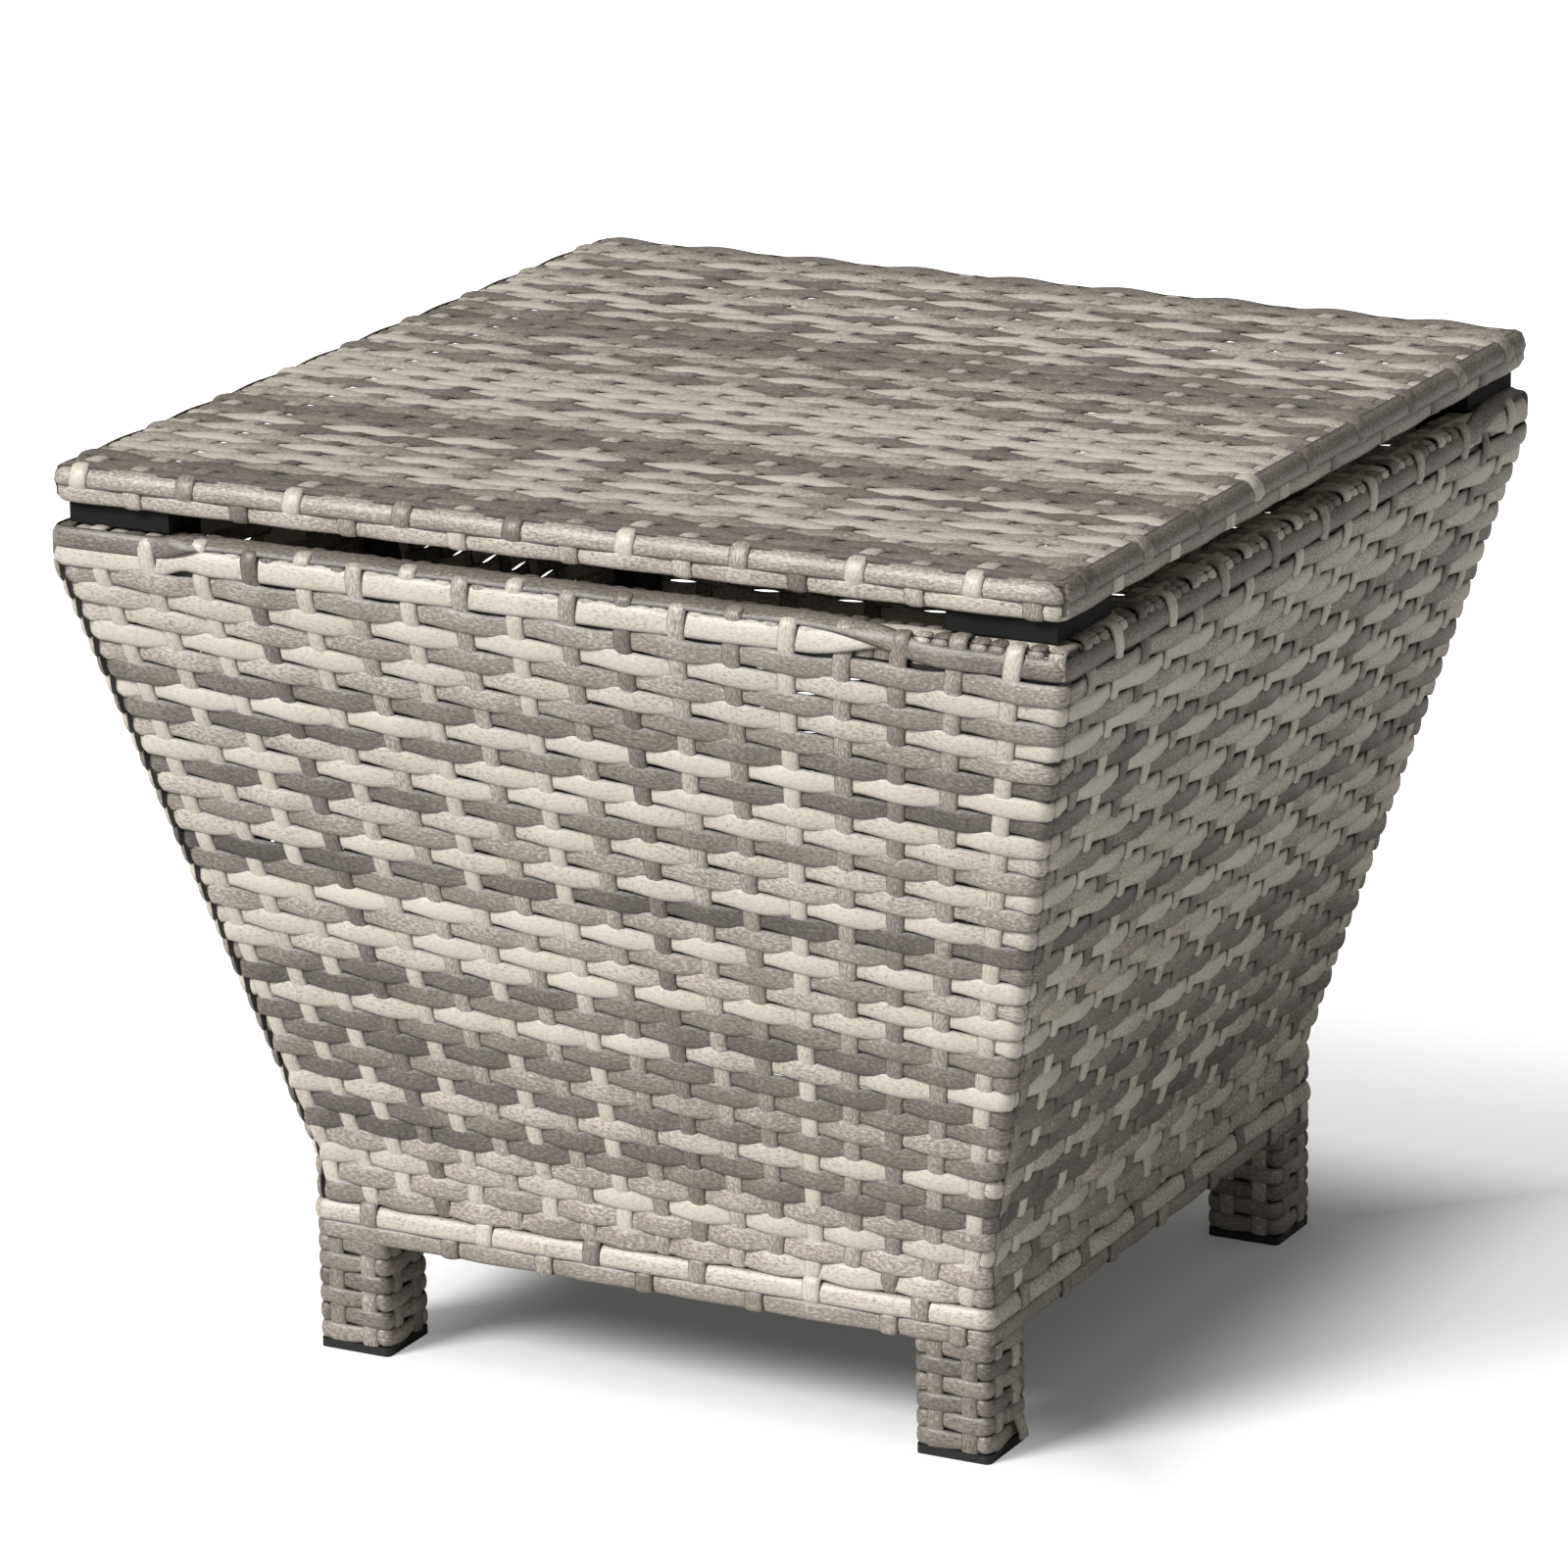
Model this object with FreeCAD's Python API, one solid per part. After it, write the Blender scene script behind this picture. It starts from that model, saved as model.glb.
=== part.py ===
import FreeCAD, Part
import math
import os
from FreeCAD import Vector

# Wicker cover table for an upright gas tank: a square bin that leans out towards the
# top, woven over a welded tube frame, on four short legs, with a loose table top.
# Millimetres. The origin is on the ground under the middle of the table, +Z is up,
# +X runs to the right along the front face and +Y points to the back.
# Half sizes are measured from the middle of the table to one side.

# Lid
lid_width = 600.0
lid_thickness = 22.0
lid_tube = 16.0
lid_tube_wall = 1.2
lid_side_wrap = 5.0
lid_face_wrap = 3.0
lid_border_width = 15.0
lid_corner_radius = 10.0
lid_edge_softness = 4.0
lid_cross_bar_offset = 95.0
lid_gap = 12.0

# Body frame
knee_height = 113.0
rim_rail_top = 480.0
rim_beyond_lid = 2.0
frame_half_at_base = 204.5
frame_tube = 20.0
frame_tube_wall = 1.2
side_stay_width = 16.0
side_stay_depth = 12.0
post_seat_thickness = 3.0

# Legs and feet
ground_to_apron = 65.0
leg_tube = 40.0
leg_tube_wall = 1.5
leg_weave_thickness = 4.0
leg_weave_radius = 6.0
foot_height = 5.0
foot_width = 44.0
foot_corner_radius = 3.0
foot_plug_depth = 18.0
foot_plug_wall = 2.5
foot_plug_clearance = 0.5
foot_rib_width = 3.0

# Woven skin
skin_thickness = 4.5
skin_corner_radius = 9.0
corner_chords = 4
row_pitch = 11.0
row_joint_depth = 2.0
lowest_row_above_trim = 1.0
lid_row_pitch = 11.2
lid_row_flat = 5.2
lid_row_joint_depth = 1.4
rim_side_wrap = 5.0
rim_face_wrap = 3.0
rim_edge_softness = 4.5
trim_side_wrap = 5.5
trim_lower_setback = 1.0
trim_face_wrap = 3.0
trim_course_height = 12.0
trim_softness = 3.0
wrap_corner_softness = 1.0
roll_steps = 2

# Corner locators that carry the lid on the rim
locator_pad_width = 31.0
locator_arm = 62.0
locator_pad_beyond_rail = 12.0
locator_nose_thickness = 8.0
locator_nose_depth = 20.0
locator_play = 6.0
locator_nose_lead_in = 2.5
screw_radius = 2.0
screw_hole_clearance = 0.15
screw_head_radius = 3.8
screw_head_height = 2.2
screw_length = 19.0
screw_from_locator_corner = 40.0

# Heights and half sizes that follow from the above
rim_rail_bottom = rim_rail_top - frame_tube
rim_top = rim_rail_top + rim_face_wrap
rim_half = lid_width / 2 + rim_beyond_lid
frame_half_at_rim = rim_half - rim_side_wrap
rim_opening_half = frame_half_at_rim - frame_tube - rim_face_wrap
base_rail_bottom = ground_to_apron + trim_face_wrap
base_rail_top = base_rail_bottom + frame_tube
trim_split = base_rail_top - trim_course_height
trim_half = frame_half_at_base + trim_side_wrap
leg_inner_half = frame_half_at_base - leg_tube
leg_middle = frame_half_at_base - leg_tube / 2
lid_bottom = rim_top + lid_gap
lid_top = lid_bottom + lid_thickness
lid_half = lid_width / 2
lid_frame_half = lid_half - lid_side_wrap
lid_frame_inner_half = lid_frame_half - lid_tube
lid_frame_bottom = lid_bottom + lid_face_wrap
lid_frame_top = lid_frame_bottom + lid_tube
lid_opening_half = lid_frame_inner_half - lid_face_wrap
lid_field_half = lid_half - lid_border_width
locator_outer_half = lid_frame_inner_half + locator_pad_beyond_rail
locator_inner_half = locator_outer_half - locator_pad_width
locator_nose_half = rim_opening_half - locator_play

# The corners of a square in turn, seen from above
square_turn = ((-1, -1), (1, -1), (1, 1), (-1, 1))

# The four sides and corners, each made once at the front and turned into place
sides = {"front": 0, "right": 90, "back": 180, "left": 270}
corners = {"front_left": 0, "front_right": 90, "back_right": 180, "back_left": 270}


def turned(shape, degrees):
    """The front piece carried round the table's upright middle axis."""
    return shape.rotated(Vector(0, 0, 0), Vector(0, 0, 1), degrees)


def block(x_low, x_high, y_low, y_high, z_low, z_high):
    """A box between six planes."""
    corner = Vector(x_low, y_low, z_low)
    return Part.makeBox(x_high - x_low, y_high - y_low, z_high - z_low, corner)


def square_prism(half, z_low, z_high):
    """An upright square block round the middle axis."""
    return block(-half, half, -half, half, z_low, z_high)


def rounded_square(half, radius, height, middle=(0.0, 0.0)):
    """Points of a level square whose corners turn in short chords, as bent strands do."""
    straight = half - radius
    centre = Vector(middle[0], middle[1], height)
    points = []
    for turn in range(4):
        spin = FreeCAD.Rotation(Vector(0, 0, 1), 90.0 * turn)
        for chord in range(corner_chords + 1):
            angle = math.radians(90.0 * chord / corner_chords)
            bend = Vector(math.sin(angle), -math.cos(angle), 0) * radius
            points.append(centre + spin.multVec(Vector(straight, -straight, 0) + bend))
    return points


def flat_face(points):
    """The flat face inside a closed round of points."""
    return Part.Face(Part.makePolygon(points + points[:1]))


def flat_sided(outlines):
    """The solid between level outlines of equally many points, with a flat face per chord."""
    faces = [flat_face(outlines[0]), flat_face(outlines[-1])]
    for below, above in zip(outlines[:-1], outlines[1:]):
        for point in range(len(below)):
            faces.append(flat_face([below[point - 1], below[point], above[point],
                                    above[point - 1]]))
    shell = Part.makeShell(faces)
    shell.sewShape()
    return Part.makeSolid(shell)


def rounded_prism(half, radius, z_low, z_high, middle=(0.0, 0.0)):
    """An upright rounded square block."""
    outline = rounded_square(half, radius, z_low, middle)
    return flat_face(outline).extrude(Vector(0, 0, z_high - z_low))


def soft_course(half, radius, z_low, z_high, top_softness, bottom_softness):
    """One woven course seen from outside: a rounded block whose long edges roll over.

    The roll goes through outlines at even angles of a quarter circle.
    """
    levels = []
    for step in range(roll_steps + 1):
        angle = math.radians(90.0 * step / roll_steps)
        inset = bottom_softness * (1 - math.sin(angle))
        levels.append((inset, z_low + bottom_softness * (1 - math.cos(angle))))
    for step in range(roll_steps + 1):
        angle = math.radians(90.0 * step / roll_steps)
        inset = top_softness * (1 - math.cos(angle))
        levels.append((inset, z_high - top_softness * (1 - math.sin(angle))))
    return flat_sided([rounded_square(half - inset, radius - inset, z) for inset, z in levels])


def square_ring(outer_half, inner_half, z_low, z_high):
    """A square frame with sharp corners."""
    return square_prism(outer_half, z_low, z_high).cut(square_prism(inner_half, z_low, z_high))


def front_quarter(shape):
    """What lies in the front quarter of the plan, cut by the two corner mitres."""
    box = shape.BoundBox
    reach = 2 * max(box.XMax, box.YMax)
    corner_points = [Vector(x * reach, y * reach, box.ZMin - 1)
                     for x, y in ((0, 0), (-1, -1), (1, -1))]
    wedge = flat_face(corner_points).extrude(Vector(0, 0, box.ZLength + 2))
    return shape.common(wedge)


def one_solid(shape):
    """The single solid of a cut or fused shape, with its split faces joined again."""
    return shape.removeSplitter().Solids[0]


def frame_half_at(height):
    """Half size of the tube frame at a height: upright below the knee, leaning above."""
    if height <= knee_height:
        return frame_half_at_base
    climb = (height - knee_height) / (rim_rail_bottom - knee_height)
    return frame_half_at_base + climb * (frame_half_at_rim - frame_half_at_base)


def tube_ring(outer_half, size, wall, z_low):
    """A square hollow tube bent round the table with mitred corners."""
    solid = square_ring(outer_half, outer_half - size, z_low, z_low + size)
    hollow = square_ring(outer_half - wall, outer_half - size + wall, z_low + wall,
                         z_low + size - wall)
    return solid.cut(hollow)


# Body frame

def top_rail():
    """Front length of the tube round the rim, mitred at both ends."""
    ring = tube_ring(frame_half_at_rim, frame_tube, frame_tube_wall, rim_rail_bottom)
    return one_solid(front_quarter(ring))


def base_rail():
    """Front tube between two legs, under the woven wall."""
    outer = block(-leg_inner_half, leg_inner_half, -frame_half_at_base,
                  -frame_half_at_base + frame_tube, base_rail_bottom, base_rail_top)
    hollow = block(-leg_inner_half, leg_inner_half, -frame_half_at_base + frame_tube_wall,
                   -frame_half_at_base + frame_tube - frame_tube_wall,
                   base_rail_bottom + frame_tube_wall, base_rail_top - frame_tube_wall)
    return outer.cut(hollow)


def leg():
    """Front left leg: an upright tube from the foot to the seat of the leaning post."""
    top = knee_height - post_seat_thickness
    outer = block(-frame_half_at_base, -leg_inner_half, -frame_half_at_base, -leg_inner_half,
                  foot_height, top)
    hollow = block(-frame_half_at_base + leg_tube_wall, -leg_inner_half - leg_tube_wall,
                   -frame_half_at_base + leg_tube_wall, -leg_inner_half - leg_tube_wall,
                   foot_height, top)
    return outer.cut(hollow)


def post_seat():
    """Plate that closes the leg and carries the leaning post."""
    return block(-frame_half_at_base, -leg_inner_half, -frame_half_at_base, -leg_inner_half,
                 knee_height - post_seat_thickness, knee_height)


def corner_post():
    """Front left post: a square tube that leans out along the diagonal."""
    lean = frame_half_at_rim - frame_half_at_base
    rise = Vector(-lean, -lean, rim_rail_bottom - knee_height)
    middle = -frame_half_at_base + frame_tube / 2
    walls = []
    for half in (frame_tube / 2, frame_tube / 2 - frame_tube_wall):
        foot = [Vector(middle + x * half, middle + y * half, knee_height)
                for x, y in square_turn]
        walls.append(flat_face(foot).extrude(rise))
    return walls[0].cut(walls[1])


def stay_outline(inset):
    """Side view of a stay between the base rail and the top rail, in the Y-Z plane."""
    path = []
    for height in (base_rail_top, knee_height, rim_rail_bottom):
        path.append((frame_half_at(height) - inset, height))
    for height in (rim_rail_bottom, knee_height, base_rail_top):
        path.append((frame_half_at(height) - side_stay_depth + inset, height))
    return path


def side_stay():
    """Front stay: a bent flat tube behind the middle of the woven wall."""
    walls = []
    for inset in (0.0, frame_tube_wall):
        half = side_stay_width / 2 - inset
        points = [Vector(-half, -away, height) for away, height in stay_outline(inset)]
        walls.append(flat_face(points).extrude(Vector(2 * half, 0, 0)))
    return walls[0].cut(walls[1])


# Feet

def foot_cap():
    """Front left foot: a moulded plastic glide with a ribbed hollow plug in the leg."""
    middle = (-leg_middle, -leg_middle)
    glide = rounded_prism(foot_width / 2, foot_corner_radius, 0, foot_height, middle)
    bore_half = leg_tube / 2 - leg_tube_wall
    plug_half = bore_half - foot_plug_clearance
    plug_top = foot_height + foot_plug_depth
    plug = square_ring(plug_half, plug_half - foot_plug_wall, foot_height, plug_top)
    plug.translate(Vector(middle[0], middle[1], 0))
    cap = glide.fuse(plug)
    for turn in range(4):
        rib = block(-foot_rib_width / 2, foot_rib_width / 2, -bore_half,
                    -plug_half + foot_plug_wall / 2, foot_height, plug_top)
        rib = turned(rib, 90 * turn)
        rib.translate(Vector(middle[0], middle[1], 0))
        cap = cap.fuse(rib)
    return one_solid(cap)


# Woven skin of the body

def row_marks(start, end, pitch, flat=0.0):
    """Where a run of rows bends: its two ends, its joints and both edges of each row's flat."""
    marks = {start, end}
    for row in range(math.ceil((end - start) / pitch)):
        for along in (0.0, (pitch - flat) / 2, (pitch + flat) / 2):
            marks.add(start + row * pitch + along)
    return sorted(mark for mark in marks if mark <= end)


def row_setback(from_start, pitch, depth, flat=0.0):
    """How far a row's face lies below its flat: none there, the whole depth at its joints."""
    from_joint = min(from_start % pitch, pitch - from_start % pitch)
    return depth * max(0.0, 1 - from_joint / ((pitch - flat) / 2))


def woven_panel():
    """Front wall: a skin of level rows that stands upright on the trim and then leans out."""
    first_row = base_rail_top + lowest_row_above_trim
    outlines = []
    for z in [base_rail_top] + row_marks(first_row, rim_rail_bottom, row_pitch):
        setback = row_setback(z - first_row, row_pitch, row_joint_depth)
        outlines.append(rounded_square(frame_half_at(z) + skin_thickness - setback,
                                       skin_corner_radius - setback, z))
    room = []
    for z in (base_rail_top, knee_height, rim_rail_bottom):
        half = frame_half_at(z)
        room.append([Vector(x * half, y * half, z) for x, y in square_turn])
    return one_solid(front_quarter(flat_sided(outlines).cut(flat_sided(room))))


def rim_wrap():
    """Front rim: strands wound over the top rail, open below for the posts."""
    roll = soft_course(rim_half, skin_corner_radius, rim_rail_bottom, rim_top,
                       rim_edge_softness, wrap_corner_softness)
    roll = roll.cut(square_ring(frame_half_at_rim, frame_half_at_rim - frame_tube,
                                rim_rail_bottom, rim_rail_top))
    roll = roll.cut(square_prism(rim_opening_half, rim_rail_bottom, rim_top))
    return one_solid(front_quarter(roll))


def base_wrap():
    """Front trim and apron: two courses outside the legs, and strands round the rail."""
    upper = soft_course(trim_half, skin_corner_radius, trim_split, base_rail_top,
                        trim_softness, trim_softness)
    lower = soft_course(trim_half - trim_lower_setback, skin_corner_radius, ground_to_apron,
                        trim_split, trim_softness, trim_softness)
    band = upper.fuse(lower)
    band = band.cut(square_prism(frame_half_at_base, ground_to_apron, base_rail_top))
    rail_inner_half = frame_half_at_base - frame_tube
    sleeve = block(-leg_inner_half, leg_inner_half, -frame_half_at_base,
                   -rail_inner_half + trim_face_wrap, ground_to_apron, base_rail_top)
    sleeve = sleeve.cut(block(-leg_inner_half, leg_inner_half, -frame_half_at_base,
                              -rail_inner_half, base_rail_bottom, base_rail_top))
    return one_solid(front_quarter(band).fuse(sleeve))


def leg_weave():
    """Front left leg's woven sleeve, from the foot to the apron."""
    middle = (-leg_middle, -leg_middle)
    sleeve = rounded_prism(leg_tube / 2 + leg_weave_thickness, leg_weave_radius, foot_height,
                           ground_to_apron, middle)
    core = block(-frame_half_at_base, -leg_inner_half, -frame_half_at_base, -leg_inner_half,
                 foot_height, ground_to_apron)
    return sleeve.cut(core)


# Lid

def lid_rail():
    """Front length of the lid's tube frame, mitred at both ends."""
    ring = tube_ring(lid_frame_half, lid_tube, lid_tube_wall, lid_frame_bottom)
    rail = one_solid(front_quarter(ring))
    for side in (-1, 1):
        rail = rail.cut(screw_hole(side * screw_along_side(), -screw_row_half()))
    return rail


def lid_cross_bar(offset):
    """Tube from the front to the back of the lid under the woven field."""
    low, high = lid_frame_bottom, lid_frame_top
    reach = lid_frame_inner_half
    outer = block(offset - lid_tube / 2, offset + lid_tube / 2, -reach, reach, low, high)
    bore_half = lid_tube / 2 - lid_tube_wall
    hollow = block(offset - bore_half, offset + bore_half, -reach, reach,
                   low + lid_tube_wall, high - lid_tube_wall)
    return outer.cut(hollow)


def lid_field():
    """Woven field inside the border strands: flat rows from left to right, with soft joints."""
    start, end = -lid_field_half, lid_field_half
    outline = [Vector(start, end, lid_frame_top), Vector(start, start, lid_frame_top)]
    for y in row_marks(start, end, lid_row_pitch, lid_row_flat):
        setback = row_setback(y - start, lid_row_pitch, lid_row_joint_depth, lid_row_flat)
        outline.append(Vector(start, y, lid_top - setback))
    return flat_face(outline).extrude(Vector(end - start, 0, 0))


def lid_edge_wrap():
    """Front lid edge: two soft courses outside, and strands wound round the tube."""
    split = lid_bottom + lid_thickness / 2
    band = soft_course(lid_half, lid_corner_radius, split, lid_top,
                       lid_edge_softness, lid_edge_softness)
    band = band.fuse(soft_course(lid_half, lid_corner_radius, lid_bottom, split,
                                 lid_edge_softness, lid_edge_softness))
    band = band.cut(square_ring(lid_frame_half, lid_frame_inner_half, lid_frame_bottom,
                                lid_frame_top))
    band = band.cut(square_prism(lid_opening_half, lid_bottom, lid_frame_top))
    band = band.cut(square_prism(lid_field_half, lid_frame_top, lid_top))
    for offset in (-lid_cross_bar_offset, lid_cross_bar_offset):
        band = band.cut(block(offset - lid_tube / 2, offset + lid_tube / 2,
                              -lid_frame_inner_half, lid_frame_inner_half,
                              lid_frame_bottom, lid_frame_top))
    return band


def strand_gap(x, y):
    """Square gap between the strands under the tube, where a locator screw passes."""
    half = screw_radius + screw_hole_clearance
    return block(x - half, x + half, y - half, y + half, lid_bottom, lid_frame_bottom)


def lid_edge_wraps():
    """The four lid edges, with the gaps for the locator screws."""
    whole = lid_edge_wrap()
    wraps = {}
    for name, degrees in sides.items():
        quarter = one_solid(front_quarter(turned(whole, -degrees)))
        for side in (-1, 1):
            quarter = quarter.cut(strand_gap(side * screw_along_side(), -screw_row_half()))
        wraps[name] = turned(quarter, degrees)
    return wraps


# Locators and their screws

def screw_along_side():
    """Where a screw stands along a side, from the middle of that side."""
    return locator_outer_half - screw_from_locator_corner


def screw_row_half():
    """Distance of the screws from the middle: half way over the pad under the rail."""
    return (lid_frame_inner_half + locator_outer_half) / 2


def screw_hole(x, y):
    """Clearance hole for one screw, through everything it fastens."""
    bottom = lid_bottom - lid_gap
    return Part.makeCylinder(screw_radius + screw_hole_clearance, screw_length + lid_face_wrap,
                             Vector(x, y, bottom))


def screw(x, y):
    """Countersunk screw driven up through the locator into the lid tube."""
    bottom = lid_bottom - lid_gap + screw_hole_clearance
    head = Part.makeCone(screw_head_radius, screw_radius, screw_head_height, Vector(x, y, bottom))
    shank = Part.makeCylinder(screw_radius, screw_length, Vector(x, y, bottom))
    return one_solid(head.fuse(shank))


def corner_angle(outer_half, inner_half, z_low, z_high):
    """An L in plan at the front left corner, with equal arms."""
    arm_end = -(locator_outer_half - locator_arm)
    outer = block(-outer_half, arm_end, -outer_half, arm_end, z_low, z_high)
    return outer.cut(block(-inner_half, arm_end, -inner_half, arm_end, z_low, z_high))


def corner_screw_points():
    """Screw places of the front left locator, one on each arm."""
    return ((-screw_along_side(), -screw_row_half()),
            (-screw_row_half(), -screw_along_side()))


def lid_locator():
    """Front left locator: a pad that stands on the rim and a nose that hangs inside it."""
    pad = corner_angle(locator_outer_half, locator_inner_half, rim_top, lid_bottom)
    nose = corner_angle(locator_nose_half, locator_nose_half - locator_nose_thickness,
                        rim_top - locator_nose_depth, rim_top)
    lead_in = []
    for edge in nose.Edges:
        level = all(abs(v.Z - nose.BoundBox.ZMin) < 1e-6 for v in edge.Vertexes)
        outside = all(abs(v.X + locator_nose_half) < 1e-6 for v in edge.Vertexes)
        outside = outside or all(abs(v.Y + locator_nose_half) < 1e-6 for v in edge.Vertexes)
        if level and outside:
            lead_in.append(edge)
    locator = pad.fuse(nose.makeChamfer(locator_nose_lead_in, lead_in))
    for x, y in corner_screw_points():
        locator = locator.cut(screw_hole(x, y))
        locator = locator.cut(Part.makeCone(
            screw_head_radius + screw_hole_clearance, screw_radius + screw_hole_clearance,
            screw_head_height + screw_hole_clearance, Vector(x, y, rim_top)))
    return one_solid(locator)


def locator_screws():
    """All locator screws, as separate solids in one group."""
    screws = []
    for degrees in corners.values():
        for x, y in corner_screw_points():
            screws.append(turned(screw(x, y), degrees))
    return Part.Compound(screws)


def build():
    """Every sub-part under its node's name."""
    parts = {}
    for place, degrees in corners.items():
        parts["leg_" + place] = turned(leg(), degrees)
        parts["post_seat_" + place] = turned(post_seat(), degrees)
        parts["corner_post_" + place] = turned(corner_post(), degrees)
        parts["foot_cap_" + place] = turned(foot_cap(), degrees)
        parts["leg_weave_" + place] = turned(leg_weave(), degrees)
        parts["lid_locator_" + place] = turned(lid_locator(), degrees)
    edge_wraps = lid_edge_wraps()
    wall = woven_panel()
    for place, degrees in sides.items():
        parts["base_rail_" + place] = turned(base_rail(), degrees)
        parts["top_rail_" + place] = turned(top_rail(), degrees)
        parts["side_stay_" + place] = turned(side_stay(), degrees)
        parts["woven_panel_" + place] = turned(wall, degrees)
        parts["rim_wrap_" + place] = turned(rim_wrap(), degrees)
        parts["base_wrap_" + place] = turned(base_wrap(), degrees)
        parts["lid_rail_" + place] = turned(lid_rail(), degrees)
        parts["lid_edge_wrap_" + place] = edge_wraps[place]
    parts["lid_cross_bar_left"] = lid_cross_bar(-lid_cross_bar_offset)
    parts["lid_cross_bar_right"] = lid_cross_bar(lid_cross_bar_offset)
    parts["lid_woven_field"] = lid_field()
    parts["locator_screws"] = locator_screws()
    return parts


os.makedirs("parts", exist_ok=True)
for node, shape in build().items():
    shape.exportStep("parts/" + node + ".step")
    print(node, round(shape.Volume), shape.isValid())
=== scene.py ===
import math

import bpy
import numpy as np
from mathutils import Matrix


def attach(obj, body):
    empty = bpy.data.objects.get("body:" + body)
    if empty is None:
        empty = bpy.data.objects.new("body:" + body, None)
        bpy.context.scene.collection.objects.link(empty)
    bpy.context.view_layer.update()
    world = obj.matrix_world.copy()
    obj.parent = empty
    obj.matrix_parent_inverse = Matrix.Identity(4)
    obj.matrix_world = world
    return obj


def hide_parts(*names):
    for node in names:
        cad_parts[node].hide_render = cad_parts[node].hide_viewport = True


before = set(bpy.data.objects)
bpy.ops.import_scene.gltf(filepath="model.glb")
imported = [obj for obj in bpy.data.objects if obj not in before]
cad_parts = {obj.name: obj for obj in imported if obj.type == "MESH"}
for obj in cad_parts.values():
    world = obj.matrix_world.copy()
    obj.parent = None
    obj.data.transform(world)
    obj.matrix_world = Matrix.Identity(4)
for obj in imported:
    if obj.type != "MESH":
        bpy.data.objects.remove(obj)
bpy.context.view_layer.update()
print("frame loaded:", len(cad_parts), "nodes")

# Lengths are in mm until a mesh is made. A side is looked at from outside: along runs to
# the right, out points away from the table, and the four sides follow each other round.
mm = 0.001
sharpAngle = math.radians(62)     # an edge that bends more than this is shaded sharp
sideNames = ["front", "right", "back", "left"]
cornerNames = ["front_left", "front_right", "back_right", "back_left"]
sideAlong = np.array([[1, 0, 0], [0, 1, 0], [-1, 0, 0], [0, -1, 0]], float)
sideOut = np.array([[0, -1, 0], [1, 0, 0], [0, 1, 0], [-1, 0, 0]], float)
upward = np.array([0.0, 0.0, 1.0])
chance = np.random.default_rng(26)


def onSide(side, x, n, z):
    # point = along * x + out * n + up * z
    x, n, z = np.broadcast_arrays(np.asarray(x, float), n, z)
    return x[..., None] * sideAlong[side] + n[..., None] * sideOut[side] + z[..., None] * upward


def unit(vectors):
    # every vector over its own length
    return vectors / np.maximum(np.linalg.norm(vectors, axis=-1, keepdims=True), 1e-9)


def ease(share):
    # cosine ease from 0 to 1
    return (1 - np.cos(np.pi * np.clip(share, 0, 1))) / 2


def spaced(count, pitch=1.0):
    # count places about the middle: (k - (count - 1) / 2) * pitch
    return (np.arange(count) - (count - 1) / 2) * pitch


def allSides(start):
    return [start + side for side in sideNames]


strandSection = {
    # points across the face and then back along the flat underside, in half widths
    "face": [-1.0, -0.86, -0.5, 0.0, 0.5, 0.86, 1.0], "back": [0.8, 0.0, -0.8],
    "backDepth": 0.12,        # how far the underside lies below the edges, in thicknesses
    "domePower": 2.6, "domeRound": 0.6,
    "girth": 2.2,             # once round a strand in widths, as its fibres are laid out
    "mapSpan": 900, "mapSlip": 0.37,      # each strand starts at its own place among the fibres
}


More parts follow.
